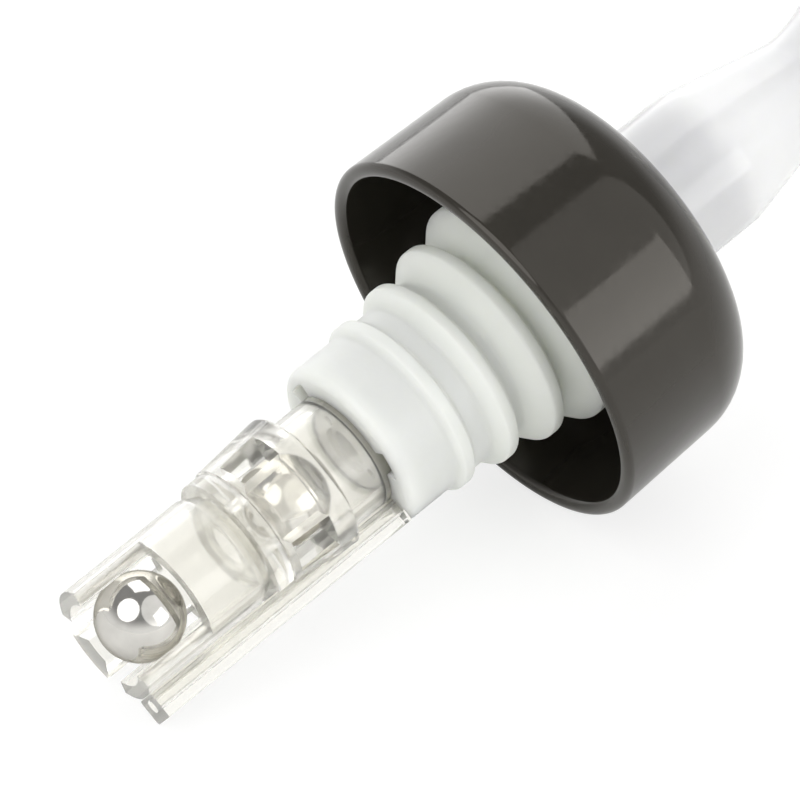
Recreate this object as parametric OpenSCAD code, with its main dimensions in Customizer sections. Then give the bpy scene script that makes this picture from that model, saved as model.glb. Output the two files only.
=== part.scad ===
// Measured pourer: a stopper that lets a set measure out of a bottle and then shuts itself off.
// Millimetres. The axis is Z, the spout points to +Z, and Z = 0 is the seat on the bottle's lip.

/* [Balls] */
// Diameter of each of the three steel balls
ball_diameter = 7.94; // [6:0.01:10]
// Radial room around the timing ball in its tube
timing_room = 0.15; // [0.1:0.01:0.3]
// Radial room around a check ball in its cage
cage_room = 0.3; // [0.15:0.01:0.6]
// Gap left between a ball and its stop at either end of its travel
stop_gap = 0.1; // [0.05:0.01:0.2]

/* [Timing tube] */
// Wall of the timing tube
tube_wall = 0.75; // [0.6:0.01:1.5]
// Width of the ring-shaped passage between the timing tube and the shank
passage_width = 0.88; // [0.6:0.01:1.6]
// How far the tube hangs out of the cork
tube_drop = 0.3; // [0.1:0.05:3]
// Height of the outlet ports below the outlet seat
port_height = 5; // [3:0.1:8]
// Width of one outlet port
port_width = 3.2; // [2:0.1:4]
// Distance from the outlet seat down to the top of the ports
port_margin = 1.6; // [1.2:0.1:3]
// Length of the ribs that centre the tube in the shank
rib_length = 12; // [6:0.5:16]
// Distance from the foot of the shank up to the ribs
rib_inset = 0.6; // [0.2:0.1:4]
// Thickness of one rib
rib_width = 0.8; // [0.5:0.1:1.5]

/* [Metering plug] */
// Thickness of the plug in the foot of the timing tube
plug_thickness = 3; // [2:0.1:5]
// Diameter of the drain hole through the plug
drain_diameter = 3.6; // [2.5:0.1:4.5]
// Diameter of one bleed hole, which sets the measure
bleed_diameter = 0.9; // [0.5:0.05:1.2]
// Width of the notches that keep the drain open below a resting ball
notch_width = 0.8; // [0.5:0.1:1.2]
// Depth of those notches
notch_depth = 0.7; // [0.4:0.1:1.2]

/* [Valve seats] */
// Diameter of the sealing edge of a check valve
valve_edge = 4.8; // [4:0.1:5.6]
// Diameter of the port through the lower seat
lower_port = 3.8; // [2.5:0.1:4]
// Diameter of the sealing edge of the outlet seat
outlet_edge = 6; // [5:0.1:6.6]
// Thickness of the outlet seat ring
outlet_thickness = 1.6; // [1.2:0.1:3]
// Wall of the skirt that holds the outlet seat on the tube
skirt_wall = 0.45; // [0.3:0.05:0.6]
// Height of that skirt
skirt_height = 1; // [0.6:0.1:1.1]

/* [Spout] */
// Wall of the shank
shank_wall = 1.15; // [0.9:0.05:2]
// Depth of the shank below the bottle's lip
shank_depth = 25.6; // [20:0.1:27]
// Height of the outlet seat above the collar
chamber_height = 7; // [7:0.1:14]
// Diameter of the flange that rests on the collar
flange_diameter = 18; // [16:0.1:22]
// Thickness of that flange
flange_thickness = 1.5; // [1.2:0.1:3]
// Bore of the nozzle
nozzle_bore = 6.8; // [6.2:0.1:8]
// Wall of the nozzle
nozzle_wall = 1.2; // [0.9:0.1:2]
// Height of the taper from the chamber to the nozzle
taper_height = 11; // [6:0.5:18]
// Radius of the bend in the nozzle
bend_radius = 20; // [12:0.5:40]
// How far the nozzle leans over, in degrees
bend_angle = 28; // [5:1:40]
// Length of the straight tip along its longer side
tip_length = 18; // [10:0.5:30]
// Wall of the nozzle at the tip
tip_wall = 0.9; // [0.6:0.1:1.5]
// Bore of the nozzle at the tip
tip_bore = 6; // [4.6:0.1:7]
// Slant of the tip's cut, in degrees
tip_slant = 38; // [0:1:50]

/* [Collar] */
// Outer diameter of the collar at its rim
collar_diameter = 37.6; // [34:0.1:42]
// Height of the collar
collar_height = 17.9; // [15:0.1:24]
// Wall of the collar's skirt, which ends in a round lip
collar_wall = 1.5; // [1.2:0.1:2.5]
// Thickness of the collar's roof
collar_roof = 1.8; // [1.5:0.1:3]
// How much smaller the collar's radius is at its shoulder than at its rim
collar_draft = 0.6; // [0:0.05:1.2]
// Radius of the rounded shoulder
shoulder_round = 6.8; // [6:0.1:9]
// Radius of the corner inside the shoulder
corner_round = 5; // [4:0.1:6]

/* [Cork] */
// Wall of the cork around the shank
cork_wall = 1.2; // [1:0.05:2]
// Depth of the cork below the bottle's lip
cork_depth = 30.4; // [28:0.1:36]
// Thickness of the flange that seals on the bottle's lip
lip_flange = 1.2; // [0.8:0.1:2]
// Thickness of the end wall that closes the cork around the sleeve
end_wall = 1.6; // [1:0.1:3]
// Width of one inlet through the end wall
inlet_width = 2.6; // [1.6:0.1:3.4]
// Depth of the highest fin below the bottle's lip
fin_depth = 10.1; // [8:0.1:14]
// Distance from one fin to the next
fin_pitch = 4.6; // [3.5:0.1:5.5]
// Height of the flat edge of a fin
fin_land = 1.1; // [0.8:0.1:2]
// How far the highest fin stands out of the cork
top_fin_reach = 3.1; // [1:0.1:4]
// How far the sealing fin stands out of the cork
seal_fin_reach = 2; // [0.8:0.1:3]
// How far the guide fin stands out of the cork
guide_fin_reach = 1.2; // [0.4:0.1:2]
// How far the lead-in bulge stands out of the cork
lead_fin_reach = 0.6; // [0.2:0.1:1.5]

/* [Cages] */
// Wall of the sleeve that joins the upper cage to the timing tube
sleeve_wall = 0.75; // [0.6:0.05:1.5]
// Overlap of the sleeve and the timing tube
sleeve_overlap = 2.3; // [1.5:0.1:4]
// Length of the neck between the tube and the cup of the upper cage
neck_length = 4.4; // [2:0.1:6]
// Outer diameter of the cup at its top edge
cup_diameter = 14; // [13:0.1:16]
// How much smaller the cup's radius is at its foot than at its top edge
cup_taper = 0.6; // [0:0.05:1]
// Height of the cup
cup_height = 7; // [6.5:0.1:12]
// Width of one window in the cup
window_width = 3; // [2:0.1:3.8]
// Height of one window in the cup
window_height = 4; // [2:0.1:5]
// Thickness of the flange between the two cages
seat_flange = 1.8; // [1:0.1:3]
// Diameter of that flange
seat_diameter = 12.4; // [12:0.1:15]
// Height of the seat's upper spigot, which carries the upper check ball
upper_spigot = 0.75; // [0.5:0.05:2]
// Height of the seat's lower spigot
lower_spigot = 0.8; // [0.5:0.05:2]
// Wall of the lower cage
fork_wall = 1.4; // [1:0.05:2]
// Length of the lower cage
fork_length = 14.3; // [14:0.1:18]
// Height of the sloped shoulder at the top of the lower cage
fork_shoulder = 1.4; // [0.5:0.1:2]
// Wall that is left at the top of that shoulder
shoulder_wall = 0.75; // [0.5:0.05:1]
// Angle of the open side of the lower cage, in degrees
open_angle = 122; // [90:1:124]
// Height of the open side
open_height = 7.3; // [6:0.1:9]
// Width of the two slots between the prongs
slot_width = 2; // [1.2:0.1:3]
// Height of those slots
slot_height = 9.5; // [6:0.1:10]
// Angle of the slots to either side of the middle prong, in degrees
slot_angle = 37; // [30:1:45]
// How far the lip at the end of the middle prong reaches in under the ball
lip_reach = 1.37; // [1:0.01:1.6]
// Height of that lip's inner edge
lip_height = 1; // [0.6:0.1:2]

/* [Breather] */
// Width of the breather bar
bar_width = 4; // [3:0.1:5]
// Depth of the breather bar
bar_depth = 2.5; // [2:0.1:3.5]
// Diameter of the air passage
air_bore = 1.3; // [0.8:0.05:1.5]
// Wall around the air passage where the bar enters the cork
tongue_wall = 0.45; // [0.3:0.05:0.8]
// Width of the air groove along the shank
groove_width = 2.2; // [1:0.1:3]
// Depth of that groove
groove_depth = 0.6; // [0.3:0.05:0.8]

/* [Hidden] */
$fn = 96;

// overshoot of a cut past the face it opens
cut = 0.5;
// step between the bend of the nozzle and its tip
tip_step = 0.12;
// play between a piece and the slot that it slides into
play = 0.04;
port_count = 4;
rib_count = 4;
window_count = 4;
inlet_count = 3;
bleed_count = 3;

// radii, worked outwards from the ball
ball_r = ball_diameter / 2;
tube_in = ball_r + timing_room;
tube_out = tube_in + tube_wall;
shank_in = tube_out + passage_width;
shank_out = shank_in + shank_wall;
cork_r = shank_out + cork_wall;
cage_in = ball_r + cage_room;
sleeve_out = tube_out + sleeve_wall;
cup_r = cup_diameter / 2;
fork_out = cage_in + fork_wall;
seat_r = seat_diameter / 2;
nozzle_in = nozzle_bore / 2;
nozzle_out = nozzle_in + nozzle_wall;
collar_r = collar_diameter / 2;

// heights above and below the lip seat
roof_low = lip_flange;
collar_top = roof_low + collar_roof;
collar_rim = collar_top - collar_height;
outlet_z = collar_top + chamber_height;
throat_z = outlet_z + outlet_thickness;
nozzle_z = throat_z + nozzle_wall;
bend_z = nozzle_z + taper_height;
tube_low = -cork_depth - tube_drop;
plug_top = tube_low + plug_thickness;
cup_top = tube_low - neck_length;
cup_low = cup_top - cup_height;
fork_top = cup_low - seat_flange;
fork_low = fork_top - fork_length;
ball_floor = cup_low + upper_spigot;
seat_low = fork_top - lower_spigot;
lip_edge = fork_low + lip_height;

// lip below the lower ball, and the height of a ball's centre above a round edge
lip_r = ball_r - lip_reach;
function sits(edge) = sqrt(ball_r * ball_r - edge * edge);

// rest places of the balls and their travel
timing_rest = plug_top + sits(drain_diameter / 2) + stop_gap;
timing_travel = outlet_z - sits(outlet_edge / 2) - stop_gap - timing_rest;
upper_rest = ball_floor + sits(lower_port / 2) + stop_gap;
upper_travel = tube_low - sits(valve_edge / 2) - stop_gap - upper_rest;
lower_rest = lip_edge + sits(lip_r) + stop_gap;
lower_travel = seat_low - sits(valve_edge / 2) - stop_gap - lower_rest;
echo(timing_rest = timing_rest, timing_travel = timing_travel);
echo(upper_rest = upper_rest, upper_travel = upper_travel);
echo(lower_rest = lower_rest, lower_travel = lower_travel);

// breather bar, which lies against the sleeve on the -Y side
bar_in = sleeve_out;
bar_out = bar_in + bar_depth;
air_y = -(shank_out - groove_depth / 2);
tongue_half = air_bore / 2 + tongue_wall;
groove_floor = shank_out - groove_depth;

clear_tint = [0.88, 0.88, 0.83, 0.45];
milky_tint = [0.9, 0.92, 0.89, 0.85];
steel_tint = [0.62, 0.63, 0.65];

// upright ring between two heights
module ring(outer, inner, low, high) {
    difference() {
        translate([0, 0, low]) cylinder(r = outer, h = high - low);
        bore(inner, low, high);
    }
}

// round cut between two heights, open at both
module bore(radius, low, high) {
    translate([0, 0, low - cut]) cylinder(r = radius, h = high - low + 2 * cut);
}

// block around the -Y radius, from one reach to another
module block(width, near, far, low, high) {
    translate([-width / 2, -far, low]) cube([width, far - near, high - low]);
}

module ball(height) {
    color(steel_tint) translate([0, 0, height]) sphere(r = ball_r);
}

// room for the breather bar in what it runs past
module bar_channel(low, high) {
    block(bar_width + 2 * play, bar_in - play, bar_out + cut, low - cut, high + cut);
}

// frame of the bend: X runs from its centre to the nozzle's foot, Y upwards
module at_bend() {
    translate([0, bend_radius, bend_z]) rotate([90, 0, -90]) children();
}

// frame of the straight tip: Z runs along it from the end of the bend
module at_tip() {
    at_bend() rotate([0, 0, bend_angle]) translate([bend_radius, 0, 0]) rotate([-90, 0, 0]) children();
}

// bent nozzle: its tip starts inside the bend, one step narrower
module nozzle_body(radius, tip_radius, past) {
    at_bend() rotate_extrude(angle = bend_angle) translate([bend_radius, 0]) circle(r = radius);
    at_tip() translate([0, 0, -cut])
        cylinder(r1 = radius - tip_step, r2 = tip_radius, h = tip_length + cut + past);
}

// slanted cut that leaves the tip longest on the side that it leans to
module tip_cut() {
    at_tip() translate([-nozzle_out, 0, tip_length]) rotate([0, tip_slant, 0])
        translate([-tip_length, -tip_length, 0]) cube([4 * tip_length, 2 * tip_length, 2 * tip_length]);
}

module spout() {
    color(milky_tint) difference() {
        union() {
            translate([0, 0, -shank_depth]) cylinder(r = shank_out, h = nozzle_z + shank_depth);
            translate([0, 0, collar_top]) cylinder(r = flange_diameter / 2, h = flange_thickness);
            translate([0, 0, nozzle_z]) cylinder(r1 = shank_out, r2 = nozzle_out, h = taper_height);
            nozzle_body(nozzle_out, tip_bore / 2 + tip_wall, 0);
        }
        bore(shank_in, -shank_depth - cut, throat_z - cut);
        bore(nozzle_in, throat_z, bend_z - cut);
        nozzle_body(nozzle_in, tip_bore / 2, cut);
        tip_cut();
        block(groove_width, groove_floor, shank_out + cut, -shank_depth - cut, collar_top + groove_depth);
        block(groove_width, groove_floor, flange_diameter, collar_top - cut, collar_top + groove_depth);
    }
}

module outlet_seat() {
    color([0.8, 0.82, 0.8]) {
        ring(shank_in, outlet_edge / 2, outlet_z, throat_z);
        ring(tube_out + skirt_wall, tube_out, outlet_z - skirt_height, outlet_z);
    }
}

module timing_tube() {
    rib_low = -shank_depth + rib_inset;
    port_low = outlet_z - port_margin - port_height;
    color(clear_tint) difference() {
        union() {
            translate([0, 0, tube_low]) cylinder(r = tube_out, h = outlet_z - tube_low);
            intersection() {
                translate([0, 0, rib_low]) cylinder(r = shank_in, h = rib_length);
                for (k = [0 : rib_count - 1]) rotate([0, 0, 360 * (k + 0.5) / rib_count])
                    translate([0, -rib_width / 2, rib_low]) cube([shank_out, rib_width, rib_length]);
            }
        }
        bore(tube_in, tube_low, outlet_z);
        for (k = [0 : port_count - 1]) rotate([0, 0, 360 * k / port_count])
            translate([0, -port_width / 2, port_low]) cube([shank_out, port_width, port_height]);
    }
}

module metering_plug() {
    bleed_place = (drain_diameter / 2 + tube_in) / 2 + bleed_diameter / 4;
    color([0.88, 0.88, 0.84]) difference() {
        translate([0, 0, tube_low]) cylinder(r = tube_in, h = plug_thickness);
        bore(drain_diameter / 2, tube_low, plug_top);
        translate([0, 0, tube_low - cut]) cylinder(r = valve_edge / 2, h = 2 * cut);
        for (k = [0 : bleed_count - 1]) rotate([0, 0, 360 * k / bleed_count]) {
            translate([bleed_place, 0, tube_low - cut])
                cylinder(d = bleed_diameter, h = plug_thickness + 2 * cut, $fn = 32);
            rotate([0, 0, 180 / bleed_count])
                translate([0, -notch_width / 2, plug_top - notch_depth])
                    cube([bleed_place, notch_width, notch_depth + cut]);
        }
    }
}

module timing_ball() {
    ball(timing_rest);
}

module collar() {
    rim_round = collar_wall / 2;
    shoulder_r = collar_r - collar_draft;
    inside_r = shoulder_r - collar_wall;
    color([0.1, 0.09, 0.09]) rotate_extrude() difference() {
        union() {
            polygon([[0, collar_rim + rim_round], [collar_r, collar_rim + rim_round],
                     [shoulder_r, collar_top - shoulder_round], [0, collar_top - shoulder_round]]);
            translate([collar_r - rim_round, collar_rim + rim_round]) circle(r = rim_round);
            intersection() {
                translate([shoulder_r - shoulder_round, collar_top - shoulder_round])
                    circle(r = shoulder_round);
                translate([shoulder_r - shoulder_round, collar_top - shoulder_round])
                    square(shoulder_round + cut);
            }
            translate([0, collar_top - shoulder_round - cut])
                square([shoulder_r - shoulder_round, shoulder_round + cut]);
        }
        translate([0, collar_rim - cut]) square([collar_r - collar_wall, rim_round + cut]);
        polygon([[0, collar_rim + rim_round], [collar_r - collar_wall, collar_rim + rim_round],
                 [inside_r, roof_low - corner_round], [0, roof_low - corner_round]]);
        intersection() {
            translate([inside_r - corner_round, roof_low - corner_round]) circle(r = corner_round);
            translate([0, roof_low - corner_round - cut]) square([collar_r, corner_round + 2 * cut]);
        }
        translate([0, roof_low - corner_round - cut])
            square([inside_r - corner_round, corner_round + cut]);
        translate([0, collar_rim]) square([shank_out + play, collar_height + cut]);
    }
}

// one fin: a sloped underside, a flat edge and a short back
module fin(index, reach) {
    middle = -fin_depth - index * fin_pitch;
    rotate_extrude() polygon([
        [shank_out, middle - fin_land / 2 - reach], [cork_r, middle - fin_land / 2 - reach],
        [cork_r + reach, middle - fin_land / 2], [cork_r + reach, middle + fin_land / 2],
        [cork_r, middle + fin_land / 2 + reach / 3], [shank_out, middle + fin_land / 2 + reach / 3]]);
}

module cork() {
    reaches = [top_fin_reach, seal_fin_reach, guide_fin_reach, lead_fin_reach];
    flange_r = collar_r - collar_draft - collar_wall - corner_round;
    pocket_half = tongue_half + play;
    inlet_z = -cork_depth + end_wall;
    color([0.87, 0.9, 0.87]) difference() {
        union() {
            translate([0, 0, -cork_depth]) cylinder(r = cork_r, h = cork_depth + lip_flange);
            cylinder(r = flange_r, h = lip_flange);
            for (index = [0 : len(reaches) - 1]) fin(index, reaches[index]);
        }
        bore(shank_out, inlet_z + cut, lip_flange);
        bore(sleeve_out + play, -cork_depth, inlet_z);
        block(2 * pocket_half, bar_in, pocket_half - air_y, -cork_depth - cut, -shank_depth);
        for (k = [0 : inlet_count - 1]) rotate([0, 0, 360 * k / inlet_count + 180])
            block(inlet_width, tube_out, shank_out, -cork_depth - cut, inlet_z + cut);
    }
}

module upper_cage() {
    color(clear_tint) difference() {
        union() {
            translate([0, 0, cup_low]) cylinder(r1 = cup_r - cup_taper, r2 = cup_r, h = cup_height);
            translate([0, 0, cup_top - cut])
                cylinder(r = sleeve_out, h = neck_length + sleeve_overlap + cut);
        }
        bore(cage_in, cup_low, tube_low);
        translate([0, 0, tube_low]) cylinder(r = tube_out, h = sleeve_overlap + cut);
        for (k = [0 : window_count - 1]) rotate([0, 0, 360 * (k + 0.5) / window_count])
            translate([0, -window_width / 2, ball_floor]) cube([2 * cup_r, window_width, window_height]);
        bar_channel(cup_low, cup_top);
    }
}

module upper_check_ball() {
    ball(upper_rest);
}

module lower_seat() {
    color([0.84, 0.87, 0.84]) difference() {
        union() {
            translate([0, 0, fork_top]) cylinder(r = seat_r, h = seat_flange);
            translate([0, 0, seat_low]) cylinder(r = cage_in, h = ball_floor - seat_low);
        }
        bore(lower_port / 2, seat_low, ball_floor);
        translate([0, 0, seat_low - cut]) cylinder(r = valve_edge / 2, h = 2 * cut);
        for (k = [0 : 1]) rotate([0, 0, 90 * k])
            translate([-cage_in, -notch_width / 2, ball_floor - notch_depth])
                cube([2 * cage_in, notch_width, notch_depth + cut]);
        bar_channel(seat_low, cup_low);
    }
}

// wedge of the given angle around the -X side
module wedge(angle, reach, low, high) {
    half = angle / 2;
    translate([0, 0, low]) linear_extrude(high - low)
        polygon([[0, 0], [-reach, reach * tan(half)], [-reach, -reach * tan(half)]]);
}

// lip that closes the lower cage's end, on the far side from its open side
module end_lip() {
    slope = cage_in - lip_r;
    rotate([0, 0, 180]) intersection() {
        difference() {
            translate([0, 0, fork_low]) cylinder(r = cage_in + fork_wall / 2, h = lip_height + slope);
            bore(lip_r, fork_low, lip_edge - cut);
            translate([0, 0, lip_edge]) cylinder(r1 = lip_r, r2 = cage_in, h = slope);
        }
        wedge(2 * slot_angle, 2 * fork_out, fork_low, lip_edge + slope);
    }
}

module lower_cage() {
    shoulder_z = fork_top - fork_shoulder;
    color(clear_tint) difference() {
        union() {
            difference() {
                union() {
                    translate([0, 0, fork_low]) cylinder(r = fork_out, h = shoulder_z - fork_low);
                    translate([0, 0, shoulder_z])
                        cylinder(r1 = fork_out, r2 = cage_in + shoulder_wall, h = fork_shoulder);
                }
                bore(cage_in, fork_low, fork_top);
            }
            end_lip();
        }
        wedge(open_angle, 2 * fork_out, fork_low - cut, fork_low + open_height);
        for (side = [-1, 1]) rotate([0, 0, side * slot_angle])
            translate([0, -slot_width / 2, fork_low - cut])
                cube([2 * fork_out, slot_width, slot_height + cut]);
        bar_channel(fork_low, fork_top);
    }
}

module lower_check_ball() {
    ball(lower_rest);
}

module breather_bar() {
    color(clear_tint) difference() {
        union() {
            block(bar_width, bar_in, bar_out, fork_low, -cork_depth);
            block(2 * tongue_half, bar_in, -air_y + tongue_half, -cork_depth - cut, -shank_depth);
        }
        translate([0, air_y, fork_low - cut])
            cylinder(d = air_bore, h = -shank_depth - fork_low + 2 * cut, $fn = 48);
    }
}

spout();
outlet_seat();
timing_tube();
metering_plug();
timing_ball();
collar();
cork();
upper_cage();
upper_check_ball();
lower_seat();
lower_cage();
lower_check_ball();
breather_bar();
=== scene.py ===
# Measured pourer: looks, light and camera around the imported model.
# Sizes are millimetres in the object's own frame, and are turned into metres where a mesh is made.
import math

import bmesh
import bpy
from mathutils import Matrix, Vector

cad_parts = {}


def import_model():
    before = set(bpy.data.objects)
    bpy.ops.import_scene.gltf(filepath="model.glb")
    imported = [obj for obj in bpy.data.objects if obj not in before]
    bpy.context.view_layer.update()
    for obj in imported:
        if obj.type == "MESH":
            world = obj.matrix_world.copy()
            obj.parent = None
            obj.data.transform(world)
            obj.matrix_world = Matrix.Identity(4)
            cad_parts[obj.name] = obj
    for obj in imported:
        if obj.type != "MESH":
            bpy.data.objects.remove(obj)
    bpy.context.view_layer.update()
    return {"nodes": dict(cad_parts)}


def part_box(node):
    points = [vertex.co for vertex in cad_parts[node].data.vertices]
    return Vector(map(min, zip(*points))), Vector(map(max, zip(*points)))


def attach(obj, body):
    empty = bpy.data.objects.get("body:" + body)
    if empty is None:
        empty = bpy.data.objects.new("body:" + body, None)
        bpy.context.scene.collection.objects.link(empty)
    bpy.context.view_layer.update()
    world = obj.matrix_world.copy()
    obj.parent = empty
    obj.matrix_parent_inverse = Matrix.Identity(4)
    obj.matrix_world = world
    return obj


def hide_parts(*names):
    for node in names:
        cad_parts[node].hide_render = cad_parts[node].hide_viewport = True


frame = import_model()

MM = 0.001

# Places and outer sizes, taken from the frame


def reach(node):
    """Lowest and highest corner of a node, in millimetres."""
    low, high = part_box(node)
    return low / MM, high / MM


collar_low, collar_high = reach("collar")
cork_low, cork_high = reach("cork")
spout_low = reach("spout")[0]
cup_low, cup_high = reach("upper_cage")
seat_low, seat_high = reach("lower_seat")
fork_low, fork_high = reach("lower_cage")
bar_low, bar_high = reach("breather_bar")
tube_low, tube_high = reach("timing_tube")
outlet_low, outlet_high = reach("outlet_seat")
ball_low, ball_high = reach("timing_ball")

# Walls and bores that several pieces share

ball_r = (ball_high.z - ball_low.z) / 2
shank_in = outlet_high.x
shank_out = 6.9
tube_out = 4.87
cage_in = 4.27
sleeve_out = -bar_high.y
# Air left between two pieces that fit each other
film = 0.03

# Angles around the axis, in degrees from +X

quarters = (0, 90, 180, 270)
diagonals = (45, 135, 225, 315)
open_side = 180
bar_side = 270

# Limits of the mesh helpers

# Points closer than this become one
weld = 0.0005
# Edges that turn by more than this stay hard
hard_turn = math.radians(35)
# Share of an edge that its rounds may take
round_share = 0.98
# Digits that heights and angles are compared to, and a change of radius that counts as none
height_digits = 5
angle_digits = 4
no_jump = 1e-6
# Height of the slope at the end of a pocket or rib
end_run = 0.05
# A point this near to an edge counts as on it, in millimetres and in degrees
touch = 0.01
touch_turn = 0.05

# Mesh helpers


def link(name, mesh_maker):
    """New object from a bmesh that the maker fills, with outward normals."""
    bm = bmesh.new()
    mesh_maker(bm)
    bmesh.ops.remove_doubles(bm, verts=bm.verts, dist=weld * MM)
    bmesh.ops.recalc_face_normals(bm, faces=bm.faces)
    mesh = bpy.data.meshes.new(name)
    bm.to_mesh(mesh)
    bm.free()
    piece = bpy.data.objects.new(name, mesh)
    bpy.context.scene.collection.objects.link(piece)
    return piece


def smooth(piece):
    for face in piece.data.polygons:
        face.use_smooth = True


def soften(piece, width, segments=2):
    """Smooth shading, with every hard edge broken by a small round."""
    smooth(piece)
    piece.data.set_sharp_from_angle(angle=hard_turn)
    edge = piece.modifiers.new("edge_round", "BEVEL")
    edge.width = width * MM
    edge.segments = segments
    edge.limit_method = "ANGLE"
    edge.angle_limit = hard_turn
    normal = piece.modifiers.new("face_normals", "WEIGHTED_NORMAL")
    normal.keep_sharp = True
    return piece


def rounded(corners, closed, steps=6):
    """Outline through corners (r, z, round): each corner with a round becomes an arc.

    Two rounds on one edge share its length in proportion to their size.
    """
    points = []
    count = len(corners)
    for i, (r, z, size) in enumerate(corners):
        here = Vector((r, z))
        at_end = not closed and i in (0, count - 1)
        if size == 0 or at_end:
            points.append(here)
            continue
        back, ahead = (Vector(corners[(i + side) % count][:2]) - here for side in (-1, 1))
        half = back.angle(ahead) / 2
        run = size / math.tan(half)
        for side, edge in ((-1, back), (1, ahead)):
            share = size / (size + corners[(i + side) % count][2])
            run = min(run, round_share * share * edge.length)
        size = run * math.tan(half)
        middle = here + (back.normalized() + ahead.normalized()).normalized() * (size / math.sin(half))
        first = here + back.normalized() * run - middle
        last = here + ahead.normalized() * run - middle
        turn = first.angle_signed(last)
        for k in range(steps + 1):
            points.append(middle + Matrix.Rotation(-turn * k / steps, 2) @ first)
    return points


def upright(r, z, angle):
    """Point at a radius, a height and an angle in radians."""
    return Vector((r * math.cos(angle), r * math.sin(angle), z))


def turn_of(point):
    """Angle of a point around the axis, in radians."""
    return math.atan2(point.y, point.x)


def apart(angle, other):
    """How far two angles lie apart, in degrees."""
    return abs((angle - other + 180) % 360 - 180)


def half_angle(width, radius):
    """Half the angle that a cut of this width takes at this radius, in degrees."""
    return math.degrees(math.asin(width / 2 / radius))


def edge_breaks(middles, half, run):
    """Angles where cuts or ribs around these middles start to fall off, and where they end."""
    return [middle + side * turn for middle in middles for side in (-1, 1) for turn in (half, half + run)]


def turned(name, outline, place=upright, columns=128):
    """Closed outline of (r, z) carried once around the axis that place() follows."""

    def make(bm):
        rings = []
        for r, z in outline:
            rings.append([bm.verts.new(place(r, z, math.tau * k / columns) * MM) for k in range(columns)])
        for a, b in zip(rings, rings[1:] + rings[:1]):
            for k in range(columns):
                n = (k + 1) % columns
                bm.faces.new((a[k], a[n], b[n], b[k]))

    return link(name, make)


def radius_at(line, z):
    """Radius of a bottom-to-top line just below and just above a height."""
    below = above = None
    for (r0, z0), (r1, z1) in zip(line, line[1:]):
        if z0 < z <= z1:
            below = r0 + (r1 - r0) * (z - z0) / (z1 - z0)
        if z0 <= z < z1 and above is None:
            above = r0 + (r1 - r0) * (z - z0) / (z1 - z0)
    if below is None:
        below = above if above is not None else line[-1][0]
    if above is None:
        above = below
    return below, above


def stations(outer, inner, heights):
    """Matching (z, outer radius, inner radius) rows, doubled where a radius jumps."""
    outer, inner = ([(r, round(z, height_digits)) for r, z in line] for line in (outer, inner))
    levels = {z for r, z in outer + inner} | {round(z, height_digits) for z in heights}
    levels = sorted(levels)
    rows = []
    for z in levels:
        out_below, out_above = radius_at(outer, z)
        in_below, in_above = radius_at(inner, z)
        if z > levels[0]:
            rows.append((z, out_below, in_below))
        jump = abs(out_below - out_above) + abs(in_below - in_above) > no_jump
        if z == levels[0] or (jump and z < levels[-1]):
            rows.append((z, out_above, in_above))
    return rows


def wall(name, outer, inner, windows=(), breaks=(), shape=None, step=4):
    """Round wall between two bottom-to-top lines, with windows (angle, half angle, low, high) left out.

    breaks are further angles that get an edge, and shape(point, outside) may move a point.
    """
    rows = stations(outer, inner, [z for window in windows for z in window[2:]])
    angles = {float(a) for a in range(0, 360, step)} | {a % 360 for a in breaks}
    for middle, half, _, _ in windows:
        angles |= {(middle - half) % 360, (middle + half) % 360}
    angles = sorted(round(a, angle_digits) for a in angles)
    columns = len(angles)

    def is_open(k, j):
        if not (0 <= j < len(rows) - 1):
            return True
        a = (angles[k] + (angles[(k + 1) % columns] - angles[k]) % 360 / 2) % 360
        z = (rows[j][0] + rows[j + 1][0]) / 2
        return any(apart(a, middle) < half and low < z < high for middle, half, low, high in windows)

    def make(bm):
        grid = {}
        for k, angle in enumerate(angles):
            for j, (z, r_out, r_in) in enumerate(rows):
                for side, r in ((1, r_out), (0, r_in)):
                    point = upright(r, z, math.radians(angle))
                    if shape:
                        point = shape(point, side == 1)
                    grid[k, j, side] = bm.verts.new(point * MM)

        def face(*corners):
            bm.faces.new([grid[corner] for corner in corners])

        for k in range(columns):
            n = (k + 1) % columns
            for j in range(len(rows) - 1):
                if is_open(k, j):
                    continue
                u = j + 1
                face((k, j, 1), (n, j, 1), (n, u, 1), (k, u, 1))
                face((k, j, 0), (k, u, 0), (n, u, 0), (n, j, 0))
                if is_open(k, j - 1):
                    face((k, j, 0), (n, j, 0), (n, j, 1), (k, j, 1))
                if is_open(k, j + 1):
                    face((k, u, 1), (n, u, 1), (n, u, 0), (k, u, 0))
                if is_open((k - 1) % columns, j):
                    face((k, j, 0), (k, j, 1), (k, u, 1), (k, u, 0))
                if is_open(n, j):
                    face((n, j, 1), (n, j, 0), (n, u, 0), (n, u, 1))
        loose = [v for v in bm.verts if not v.link_faces]
        bmesh.ops.delete(bm, geom=loose, context="VERTS")

    return link(name, make)


# Room for the breather bar, cut into the outside of the pieces that it runs past

channel_half = bar_high.x + film
channel_floor = sleeve_out - film
channel_run = 0.2


def beside_bar(point, outside):
    """Moves a point of the outside in to the channel's flat floor."""
    if outside and abs(point.x) < channel_half and point.y < -channel_floor:
        return Vector((point.x, -channel_floor, point.z))
    return point


def channel_breaks(radius):
    """Angles at the edges of the channel's floor and of its mouth at this radius."""
    mouth = half_angle(2 * channel_half, radius) - channel_run
    floor = math.degrees(math.atan2(channel_half, channel_floor)) + channel_run
    return [bar_side - floor, bar_side - mouth, bar_side + mouth, bar_side + floor]


# Materials

# Sockets of the Mix node that hold its two colours and the result
mix_first, mix_second, mix_result = 6, 7, 2


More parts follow.
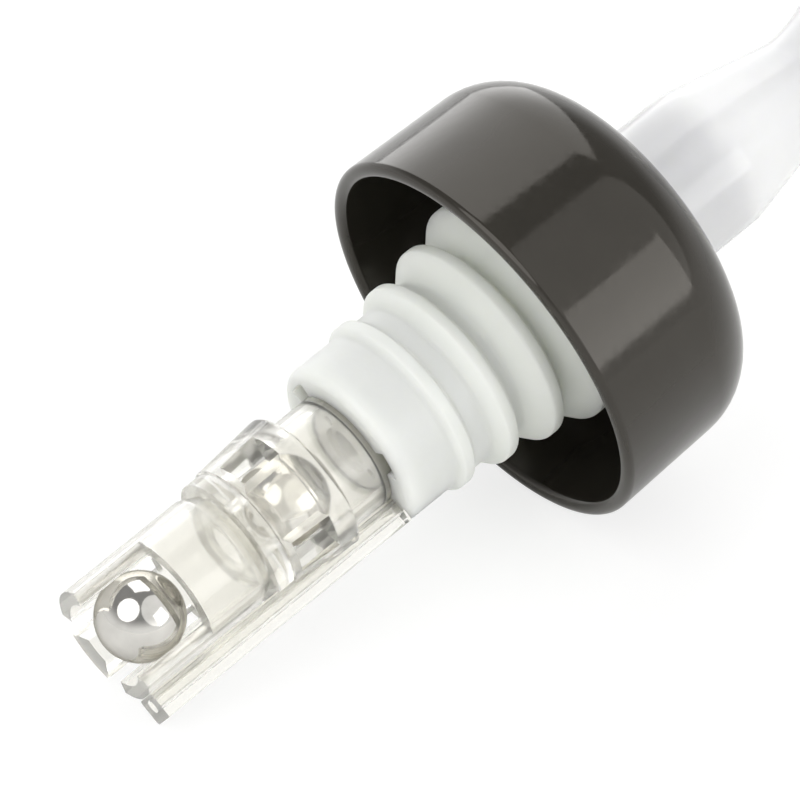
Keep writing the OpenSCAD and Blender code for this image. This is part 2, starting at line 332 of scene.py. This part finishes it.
class Nodes:
    """A material's node tree, with one line per node."""

    def __init__(self, name):
        self.material = bpy.data.materials.new(name)
        self.material.use_nodes = True
        self.tree = self.material.node_tree
        self.shader = self.tree.nodes["Principled BSDF"]
        self.output = self.tree.nodes["Material Output"]

    def add(self, kind, **settings):
        node = self.tree.nodes.new(kind)
        for key, value in settings.items():
            if key in node.inputs:
                node.inputs[key].default_value = value
            else:
                setattr(node, key, value)
        return node

    def join(self, out, into):
        self.tree.links.new(out, into)

    def set(self, **values):
        for key, value in values.items():
            self.shader.inputs[key.replace("_", " ")].default_value = value

    def noise(self, waves, detail, stretch):
        """Noise in the object's own space, with so many waves per metre."""
        coords = self.add("ShaderNodeTexCoord")
        mapping = self.add("ShaderNodeMapping", Scale=stretch)
        self.join(coords.outputs["Object"], mapping.inputs["Vector"])
        noise = self.add("ShaderNodeTexNoise", Scale=waves, Detail=detail)
        self.join(mapping.outputs["Vector"], noise.inputs["Vector"])
        return noise.outputs["Fac"]

    def drift(self, low, high, waves, detail, stretch):
        """Value that drifts between low and high with the noise's middle range."""
        node = self.add("ShaderNodeMapRange")
        for key, number in (("From Min", 0.3), ("From Max", 0.7), ("To Min", low), ("To Max", high)):
            node.inputs[key].default_value = number
        self.join(self.noise(waves, detail, stretch), node.inputs["Value"])
        return node.outputs["Result"]

    def tint(self, waves, pale, deep, detail=3.0, stretch=(1, 1, 1)):
        """Colour that drifts between two."""
        node = self.add("ShaderNodeMix", data_type="RGBA")
        node.inputs[mix_first].default_value = (*pale, 1)
        node.inputs[mix_second].default_value = (*deep, 1)
        self.join(self.drift(0, 1, waves, detail, stretch), node.inputs["Factor"])
        self.join(node.outputs[mix_result], self.shader.inputs["Base Color"])

    def polish(self, waves, low, high, detail=3.0, stretch=(1, 1, 1)):
        """Roughness that drifts between two values."""
        self.join(self.drift(low, high, waves, detail, stretch), self.shader.inputs["Roughness"])

    def bump(self, waves, depth, detail=3.0):
        """Bump of the given depth in millimetres."""
        node = self.add("ShaderNodeBump", Strength=1.0, Distance=depth * MM)
        self.join(self.noise(waves, detail, (1, 1, 1)), node.inputs["Height"])
        self.join(node.outputs["Normal"], self.shader.inputs["Normal"])

    def mix(self, share, first, second):
        """Shader between two, by a share from 0 to 1."""
        node = self.add("ShaderNodeMixShader")
        for out, into in zip((share, first, second), node.inputs):
            self.join(out, into)
        return node.outputs["Shader"]


# How red, green and blue spread in milky plastic, against its depth
spread = (1.0, 1.0, 0.9)


def clear_plastic():
    """Moulded clear plastic, a little less polished in patches."""
    m = Nodes("clear_plastic")
    m.set(IOR=1.48, Transmission_Weight=0.9)
    m.tint(260, (0.957, 0.948, 0.908), (0.934, 0.924, 0.876), stretch=(1, 1, 0.25))
    m.polish(420, 0.08, 0.18)
    m.bump(120, 0.012, detail=1.0)
    return m.material


def milky_plastic(name, pale, deep, clearness, depth, rough, grain):
    """Moulded plastic clouded between two tints; clearness is the share of light that passes straight,
    and depth is how far the rest spreads."""
    m = Nodes(name)
    m.set(IOR=1.5, Transmission_Weight=clearness)
    m.set(Subsurface_Weight=0.8, Subsurface_Scale=depth * MM, Subsurface_Radius=spread)
    m.tint(300, pale, deep)
    m.polish(900, *rough)
    m.bump(400, grain)
    return m.material


def cork_plastic():
    """Soft milky plastic with a satin skin."""
    m = Nodes("cork_plastic")
    m.set(IOR=1.46, Subsurface_Weight=0.9, Subsurface_Scale=5 * MM, Subsurface_Radius=spread)
    m.tint(120, (0.835, 0.865, 0.78), (0.795, 0.828, 0.74))
    m.polish(1100, 0.34, 0.5)
    m.bump(850, 0.02, detail=4.0)
    return m.material


def collar_plastic():
    """Glossy brown-black plastic."""
    m = Nodes("collar_plastic")
    m.set(IOR=1.5, Specular_Tint=(1.0, 0.95, 0.88, 1))
    m.tint(150, (0.026, 0.0236, 0.0192), (0.021, 0.019, 0.0155))
    m.polish(1600, 0.06, 0.17, detail=6.0)
    m.bump(420, 0.012, detail=2.0)
    return m.material


def ball_steel():
    """Polished steel with faint rubbed marks, and painted shade at its rim: a grey edge tint darkens its
    reflections there.
    """
    m = Nodes("ball_steel")
    # Grey edge tint: painted shade that darkens the reflections at the ball's rim
    m.set(Metallic=1.0, Specular_Tint=(0.5, 0.49, 0.46, 1))
    m.tint(500, (0.68, 0.666, 0.63), (0.59, 0.576, 0.545))
    m.polish(2600, 0.04, 0.14, detail=6.0, stretch=(1, 1, 4))
    m.bump(1500, 0.004, detail=4.0)
    return m.material


finishes = {
    "clear_plastic": clear_plastic(),
    "spout_plastic": milky_plastic("spout_plastic", (0.985, 0.99, 0.955), (0.965, 0.972, 0.93),
                                   clearness=0.12, depth=6, rough=(0.06, 0.14), grain=0.015),
    "seat_plastic": milky_plastic("seat_plastic", (0.97, 0.97, 0.945), (0.94, 0.94, 0.905),
                                  clearness=0.03, depth=1, rough=(0.12, 0.26), grain=0.03),
    "cork_plastic": cork_plastic(),
    "collar_plastic": collar_plastic(),
    "ball_steel": ball_steel(),
}


def fit(piece, node, slot, body="housing"):
    """The piece stands for a node, with the finish of its slot."""
    piece.data.materials.clear()
    piece.data.materials.append(finishes[slot])
    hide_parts(node)
    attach(piece, body)


# Pieces


def collar():
    wall_size, draft = 1.5, 0.6
    shoulder, corner, edge = 6.8, 5.0, 0.3
    lip = round_share * wall_size / 2
    side = collar_high.x - draft
    roof = cork_high.z
    bore = shank_out + film
    corners = [
        (collar_high.x, collar_low.z, lip),
        (side, collar_high.z, shoulder),
        (bore, collar_high.z, edge),
        (bore, roof, edge),
        (side - wall_size, roof, corner),
        (collar_high.x - wall_size, collar_low.z, lip),
    ]
    piece = turned("collar_shell", rounded(corners, closed=True, steps=14), columns=192)
    fit(soften(piece, 0.1), "collar", "collar_plastic")


def cork():
    body_r, depth, pitch, land, back_slope = 8.1, 10.1, 4.6, 1.1, 3.0
    fin_reach = (3.1, 2.0, 1.2, 0.6)
    fin_edge, root, body_edge, flange_edge, end_edge = 0.42, 0.7, 0.6, 0.25, 0.9
    end_ring, end_land, top_ring = 0.2, 2, 0.3
    end_wall, inlet_w, inlet_turns, inlet_run = 1.6, 2.6, (90, 210, 330), 0.5
    pocket_half, pocket_reach, pocket_run = 1.14, 7.74, 0.3
    top, pocket_top, inlet_top = cork_high.z, spout_low.z, cork_low.z + end_wall
    bore, end_bore = shank_out + film, sleeve_out + film
    corners = [(end_bore + end_ring, cork_low.z, 0), (body_r, cork_low.z, end_edge),
               (body_r, cork_low.z + end_land, 0)]
    last_back = cork_low.z
    for index in reversed(range(len(fin_reach))):
        out = fin_reach[index]
        low = -depth - index * pitch - land / 2
        high = low + land
        foot = low - out
        if last_back > foot:
            valley = (back_slope * last_back + foot) / (back_slope + 1)
            corners[-1] = (body_r + valley - foot, valley, root / 2)
        else:
            corners.append((body_r, foot, root))
        corners += [(body_r + out, low, fin_edge), (body_r + out, high, fin_edge)]
        last_back = high + out / back_slope
        corners.append((body_r, last_back, root))
    corners += [(body_r, 0, body_edge), (cork_high.x, 0, flange_edge), (cork_high.x, top, flange_edge),
                (bore + top_ring, top, 0)]
    inner = [(end_bore, cork_low.z), (end_bore, inlet_top), (bore, inlet_top), (bore, pocket_top - end_run),
             (bore, pocket_top), (bore, top)]
    inlet_half = half_angle(inlet_w, (end_bore + bore) / 2)
    pocket_turn = half_angle(2 * pocket_half, bore)

    def hollow(point, outside):
        """Widens the bore to the bar's pocket and, in the end wall, to the inlets."""
        if outside or point.z > pocket_top - end_run + touch:
            return point
        if abs(point.x) < pocket_half + touch and point.y < 0:
            return Vector((point.x, -pocket_reach, point.z))
        turn = math.degrees(turn_of(point))
        in_inlet = any(apart(turn, middle) < inlet_half + touch_turn for middle in inlet_turns)
        if in_inlet and point.z < inlet_top + touch:
            return upright(bore, point.z, math.radians(turn))
        return point

    breaks = edge_breaks([bar_side], pocket_turn, pocket_run)
    breaks += edge_breaks(inlet_turns, inlet_half, inlet_run)
    outer = rounded(corners, closed=False)
    piece = wall("cork_stopper", outer, inner, breaks=breaks, shape=hollow, step=3)
    fit(soften(piece, 0.12), "cork", "cork_plastic")


def upper_cage():
    window_w, window_h = 3.0, 4.0
    taper, cup_drop, cup_edge, neck_root = 0.6, 4.4, 0.45, 0.5
    cup_top = tube_low.z - cup_drop
    socket = tube_out + film
    outer = rounded([(cup_high.x - taper, cup_low.z, 0), (cup_high.x, cup_top, cup_edge),
                     (sleeve_out, cup_top, neck_root), (sleeve_out, cup_high.z, 0)], closed=False)
    inner = [(cage_in, cup_low.z), (cage_in, tube_low.z), (socket, tube_low.z), (socket, cup_high.z)]
    half = half_angle(window_w, (cage_in + cup_high.x) / 2)
    windows = [(turn, half, seat_high.z, seat_high.z + window_h) for turn in diagonals]
    piece = wall("upper_cage_cup", outer, inner, windows, channel_breaks(cup_high.x), beside_bar)
    fit(soften(piece, 0.16, 3), "upper_cage", "clear_plastic")


def lower_seat():
    port, edge, counterbore = 1.9, 2.4, 0.5
    notch_w, notch_h = 0.8, 0.7
    spigot = cage_in - film
    flange_low, flange_high = fork_high.z + film, cup_low.z - film
    step = seat_low.z + counterbore
    outer = [(spigot, seat_low.z), (spigot, flange_low), (seat_high.x, flange_low),
             (seat_high.x, flange_high), (spigot, flange_high), (spigot, seat_high.z)]
    inner = [(edge, seat_low.z), (edge, step), (port, step), (port, seat_high.z)]
    half = half_angle(notch_w, (port + spigot) / 2)
    windows = [(turn, half, seat_high.z - notch_h, seat_high.z) for turn in quarters]
    piece = wall("lower_seat_ring", outer, inner, windows, channel_breaks(seat_high.x), beside_bar)
    fit(soften(piece, 0.14, 3), "lower_seat", "clear_plastic")


def lower_cage():
    open_angle, open_height = 122, 7.3
    slot_w, slot_height, slot_angle = 2.0, 9.5, 37
    shoulder, shoulder_wall, shoulder_round = 1.4, 0.75, 0.8
    lip_r, lip_height = 2.6, 1.0
    lip = fork_low.z + lip_height
    lip_top = lip + cage_in - lip_r
    outer = rounded([(fork_high.x, fork_low.z, 0), (fork_high.x, fork_high.z - shoulder, shoulder_round),
                     (cage_in + shoulder_wall, fork_high.z, 0)], closed=False)
    inner = [(cage_in, z) for z in (fork_low.z, lip, lip_top, fork_high.z)]
    half = half_angle(slot_w, (cage_in + fork_high.x) / 2)

    def end_lip(point, outside):
        """Draws the bore in to a lip between the two slots, which holds the ball."""
        turn = turn_of(point)
        if outside or abs(math.degrees(turn)) > slot_angle or point.z > lip_top:
            return beside_bar(point, outside)
        return upright(lip_r + max(0, point.z - lip), point.z, turn)

    windows = [(open_side, open_angle / 2, fork_low.z, fork_low.z + open_height)]
    windows += [(side * slot_angle % 360, half, fork_low.z, fork_low.z + slot_height) for side in (-1, 1)]
    piece = wall("lower_cage_fork", outer, inner, windows, channel_breaks(fork_high.x), end_lip)
    fit(soften(piece, 0.22, 3), "lower_cage", "clear_plastic")


def breather_bar():
    bore, air_y = 0.65, -6.6
    tongue_half, tongue_out = 1.1, 7.7
    corner, arc_steps = 0.35, 11
    columns = 4 * (arc_steps + 1)
    near, far, shoulder = sleeve_out, -bar_low.y, cork_low.z
    sections = [(bar_low.z, bar_high.x, far), (shoulder, bar_high.x, far),
                (shoulder, tongue_half, tongue_out), (bar_high.z, tongue_half, tongue_out)]

    def make(bm):
        loops = []
        for z, half, out in sections:
            corners = [(half, -near, corner), (-half, -near, corner),
                       (-half, -out, corner), (half, -out, corner)]
            line = rounded(corners, closed=True, steps=arc_steps)
            loops.append([bm.verts.new(Vector((p.x, p.y, z)) * MM) for p in line])
        for z in (bar_high.z, bar_low.z):
            loop = []
            for k in range(columns):
                turn = math.tau * (k + 0.5) / columns + math.pi / 4
                at = Vector((bore * math.cos(turn), air_y + bore * math.sin(turn), z))
                loop.append(bm.verts.new(at * MM))
            loops.append(loop)
        for a, b in zip(loops, loops[1:] + loops[:1]):
            shift = nearest_shift(a, b)
            for k in range(columns):
                n = (k + 1) % columns
                bm.faces.new((a[k], a[n], b[(n + shift) % columns], b[(k + shift) % columns]))

    def nearest_shift(a, b):
        """How far b is turned against a, so that the faces between them don't twist."""

        def spacing(shift):
            return sum((a[k].co - b[(k + shift) % columns].co).length for k in range(columns))

        return min(range(columns), key=spacing)

    piece = link("breather_bar_tube", make)
    fit(soften(piece, 0.18, 3), "breather_bar", "clear_plastic")


def spout():
    flange_r, flange_h = 9.0, 1.5
    nozzle_in, nozzle_out, tip_in, tip_out = 3.4, 4.6, 3.0, 3.9
    roof, rise = 1.2, 11
    bend_r, bend, bend_steps = 20, math.radians(28), 16
    tip_length, slant, tip_steps = 18, math.radians(38), 6
    vent_w, vent_h = 2.2, 0.6
    seat, throat = collar_high.z + film, outlet_high.z
    nozzle_z = throat + roof
    bend_z = nozzle_z + rise
    bend_end = bend_z + bend_r * bend
    tip_end = bend_end + tip_length

    def bent(r, z, angle):
        """Place of an outline point: the vent under the flange, the bend and the slanted tip."""
        across, side = r * math.cos(angle), r * math.sin(angle)
        if r > shank_out + film and abs(across) < vent_w / 2 and side < 0 and z < seat + vent_h:
            return Vector((across, side, seat + vent_h))
        if z <= bend_z:
            return Vector((across, side, z))
        turn = min((z - bend_z) / bend_r, bend)
        along = Vector((0, math.sin(turn), math.cos(turn)))
        out = Vector((0, math.cos(turn), -math.sin(turn)))
        middle = Vector((0, bend_r * (1 - math.cos(turn)), bend_z + bend_r * math.sin(turn)))
        if z > bend_end:
            cut = tip_length - (nozzle_out - side) * math.tan(slant)
            middle += along * (z - bend_end) * cut / tip_length
        return middle + Vector((across, 0, 0)) + out * side

    def stretch(z0, z1, r0, r1, steps):
        return [(r0 + (r1 - r0) * k / steps, z0 + (z1 - z0) * k / steps, 0) for k in range(1, steps + 1)]

    def nozzle(radius, tip_radius):
        bow = stretch(bend_z, bend_end, radius, radius, bend_steps)
        return bow + stretch(bend_end, tip_end, radius, tip_radius, tip_steps)

    outside = [(shank_out, spout_low.z, 0.3), (shank_out, seat, 0.1), (flange_r, seat, 0.3),
               (flange_r, seat + flange_h, 0.5), (shank_out, seat + flange_h, 0.8),
               (shank_out, nozzle_z, 3.0), (nozzle_out, bend_z, 6.0)]
    inside = [(shank_in, spout_low.z, 0.2), (shank_in, throat, 0.6), (nozzle_in, throat, 0.8),
              (nozzle_in, bend_z, 0)]
    outside += nozzle(nozzle_out, tip_out)
    inside += nozzle(nozzle_in, tip_in)
    outline = rounded(outside + inside[::-1], closed=True, steps=8)
    piece = turned("spout_tube", outline, bent, columns=120)
    fit(soften(piece, 0.12), "spout", "spout_plastic")


def timing_tube():
    tube_in, port_w, port_h, margin = 4.12, 3.2, 5.0, 1.6
    rib_w, rib_start, rib_length, rib_run = 0.8, 0.6, 12, 0.4
    bore, top = tube_in + film, tube_high.z - film
    port_top = tube_high.z - margin
    rib_low = spout_low.z + rib_start
    rib_high = rib_low + rib_length
    heights = (tube_low.z, rib_low - end_run, rib_low, rib_high, rib_high + end_run, top)
    outer = [(tube_out, z) for z in heights]
    inner = [(bore, tube_low.z), (bore, top)]
    half = half_angle(port_w, (tube_in + tube_out) / 2)
    windows = [(turn, half, port_top - port_h, port_top) for turn in quarters]
    rib_half = half_angle(rib_w, shank_in)

    def ribs(point, outside):
        """Moves a point of the outside out to the shank's bore where a rib stands."""
        turn = turn_of(point)
        beside = min(apart(math.degrees(turn), middle) for middle in diagonals)
        along_rib = rib_low - touch < point.z < rib_high + touch
        if outside and along_rib and beside < rib_half + touch_turn:
            return upright(shank_in - film, point.z, turn)
        return point

    breaks = edge_breaks(diagonals, rib_half, rib_run)
    piece = wall("timing_tube_bore", outer, inner, windows, breaks, ribs)
    fit(soften(piece, 0.1), "timing_tube", "clear_plastic")


def outlet_seat():
    skirt, edge = 0.45, 3.0
    edge_round, skirt_round, rim_round = 0.3, 0.1, 0.2
    bore, rim, top = tube_out + film, shank_in - film, outlet_high.z - film
    corners = [
        (edge, top, edge_round),
        (edge, tube_high.z, edge_round),
        (bore, tube_high.z, skirt_round),
        (bore, outlet_low.z, skirt_round),
        (bore + skirt, outlet_low.z, skirt_round),
        (bore + skirt, tube_high.z, edge_round),
        (rim, tube_high.z, rim_round),
        (rim, top, rim_round),
    ]
    piece = turned("outlet_seat_ring", rounded(corners, closed=True))
    fit(soften(piece, 0.06), "outlet_seat", "seat_plastic")


def metering_plug():
    """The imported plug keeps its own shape."""
    node = frame["nodes"]["metering_plug"]
    node.data.materials.clear()
    node.data.materials.append(finishes["seat_plastic"])


def ball(node):
    """Steel ball: an even quad mesh pushed out to the ball's radius."""
    low, high = reach(node)
    middle = (low + high) / 2

    def make(bm):
        bmesh.ops.create_cube(bm, size=2)
        bmesh.ops.subdivide_edges(bm, edges=bm.edges, cuts=31, use_grid_fill=True)
        for vert in bm.verts:
            vert.co = (middle + even(vert.co) * ball_r) * MM

    def even(co):
        return Vector([math.tan(c * math.pi / 4) for c in co]).normalized()

    piece = link(node + "_polished", make)
    smooth(piece)
    fit(piece, node, "ball_steel", body=node)


collar()
cork()
upper_cage()
lower_seat()
lower_cage()
breather_bar()
spout()
timing_tube()
outlet_seat()
metering_plug()
for name in ("timing_ball", "upper_check_ball", "lower_check_ball"):
    ball(name)

# Camera: the photograph's view, over the open side of the lower cage

view_tilt = math.radians(19.73)
view_roll = math.radians(38.90)
view_distance = 600
# Focal length and frame in pixels, and the pixel at which the point aim on the axis is seen
view_focal = 6946
frame_size = 800
aim_pixel = (481.7, 340.9)
aim = Vector((0, 0, -14.5))

to_camera = Vector((-math.cos(view_tilt), 0, -math.sin(view_tilt)))
along = Vector((-math.sin(view_tilt), 0, math.cos(view_tilt)))
across = Vector((0, -1, 0))
right = math.cos(view_roll) * along + math.sin(view_roll) * across
up = math.sin(view_roll) * along - math.cos(view_roll) * across


def camera():
    data = bpy.data.cameras.new("camera")
    data.sensor_width = 36
    data.lens = data.sensor_width * view_focal / frame_size
    data.clip_start, data.clip_end = 0.01, 20
    pixel = view_distance / view_focal
    shift_x, shift_y = ((at - frame_size / 2) * pixel for at in aim_pixel)
    eye = aim + to_camera * view_distance - right * shift_x + up * shift_y
    camera_object = bpy.data.objects.new("camera", data)
    bpy.context.scene.collection.objects.link(camera_object)
    turn = Matrix((right, up, to_camera)).transposed().to_4x4()
    camera_object.matrix_world = Matrix.Translation(eye * MM) @ turn
    bpy.context.scene.camera = camera_object


# Table that the pourer lies on: it touches the collar's rim and the outer edge of the bar

table_normal = Vector((-0.738, 0.620, 0.267)).normalized()
table_level = -22.05
table_half = 320


def seen_rays(tree, direct, mirrored):
    """Share of plain white for the rays that show the background: seen directly or through clear
    plastic, and mirrored. Rays that carry light get none."""
    shares = (("Is Camera Ray", direct), ("Is Transmission Ray", direct), ("Is Glossy Ray", mirrored))
    path = tree.nodes.new("ShaderNodeLightPath")
    total = None
    for ray, share in shares:
        part = tree.nodes.new("ShaderNodeMath")
        part.operation = "MULTIPLY_ADD"
        tree.links.new(path.outputs[ray], part.inputs[0])
        part.inputs[1].default_value = share
        part.inputs[2].default_value = 0
        if total:
            tree.links.new(total, part.inputs[2])
        total = part.outputs["Value"]
    return total


def table():
    """White paper that keeps the shadow, and that isn't seen from below."""
    side = table_normal.orthogonal().normalized()
    other = table_normal.cross(side)
    middle = table_normal * table_level

    def make(bm):
        corners = []
        for a, b in ((-1, -1), (1, -1), (1, 1), (-1, 1)):
            corners.append(bm.verts.new((middle + (side * a + other * b) * table_half) * MM))
        bm.faces.new(corners)

    piece = link("table", make)
    if piece.data.polygons[0].normal.dot(table_normal) < 0:
        piece.data.flip_normals()
    m = Nodes("table_white")
    m.set(Base_Color=(0.93, 0.93, 0.92, 1), Roughness=0.6, Specular_IOR_Level=0.2)
    white = m.add("ShaderNodeEmission", Strength=1.1)
    clear = m.add("ShaderNodeBsdfTransparent")
    back = m.add("ShaderNodeNewGeometry")
    shown = seen_rays(m.tree, direct=0.68, mirrored=0.2)
    paper = m.mix(shown, m.shader.outputs["BSDF"], white.outputs["Emission"])
    surface = m.mix(back.outputs["Backfacing"], paper, clear.outputs["BSDF"])
    m.join(surface, m.output.inputs["Surface"])
    piece.data.materials.append(m.material)


def world():
    """White background; the light that falls on the object is softer and greyer overhead."""
    sky = bpy.data.worlds.new("studio")
    bpy.context.scene.world = sky
    sky.use_nodes = True
    tree = sky.node_tree
    tree.nodes.clear()
    new, join = tree.nodes.new, tree.links.new
    coords = new("ShaderNodeTexCoord")
    lift = new("ShaderNodeVectorMath")
    lift.operation = "DOT_PRODUCT"
    lift.inputs[1].default_value = table_normal
    join(coords.outputs["Generated"], lift.inputs[0])
    ramp = new("ShaderNodeMapRange")
    ramp.interpolation_type = "SMOOTHSTEP"
    for key, number in (("From Min", 0.05), ("From Max", 0.55), ("To Min", 1.0), ("To Max", 0.32)):
        ramp.inputs[key].default_value = number
    join(lift.outputs["Value"], ramp.inputs["Value"])
    level = new("ShaderNodeMix")
    level.inputs["B"].default_value = 1.0
    join(seen_rays(tree, direct=1, mirrored=0), level.inputs["Factor"])
    join(ramp.outputs["Result"], level.inputs["A"])
    light = new("ShaderNodeBackground")
    light.inputs["Color"].default_value = (1, 1, 1, 1)
    join(level.outputs["Result"], light.inputs["Strength"])
    out = new("ShaderNodeOutputWorld")
    join(light.outputs["Background"], out.inputs["Surface"])


def lamp(name, direction, distance, wide, high, glow, shape="RECTANGLE"):
    """Soft box that faces the object; glow is its brightness against white paper."""
    data = bpy.data.lights.new(name, "AREA")
    data.shape = shape
    data.size, data.size_y = wide * MM, high * MM
    data.energy = glow * math.pi * data.size * data.size_y
    light = bpy.data.objects.new(name, data)
    bpy.context.scene.collection.objects.link(light)
    out = Vector(direction).normalized()
    level = Vector((0, 0, 1)).cross(out).normalized()
    turn = Matrix((level, out.cross(level), out)).transposed().to_4x4()
    light.matrix_world = Matrix.Translation(out * distance * MM) @ turn
    light.visible_camera = False


camera()
table()
world()
lamp("key_lamp", (0.05, 0.82, 0.52), distance=450, wide=760, high=340, glow=1.7)
lamp("side_lamp", (-0.77, -0.51, 0.34), distance=500, wide=290, high=300, glow=1.6)
lamp("front_lamp", (-0.7, 0.5, -0.51), distance=500, wide=500, high=500, glow=1.5, shape="ELLIPSE")
lamp("fill_lamp", (-0.9, -0.2, 0.35), distance=520, wide=800, high=800, glow=0.55, shape="ELLIPSE")
bpy.context.scene.view_settings.view_transform = "Standard"
# Light passes many clear walls before it reaches what lies behind them
bpy.context.scene.cycles.max_bounces = 24
bpy.context.scene.cycles.transmission_bounces = 24
bpy.context.scene.cycles.glossy_bounces = 8

bpy.context.view_layer.update()
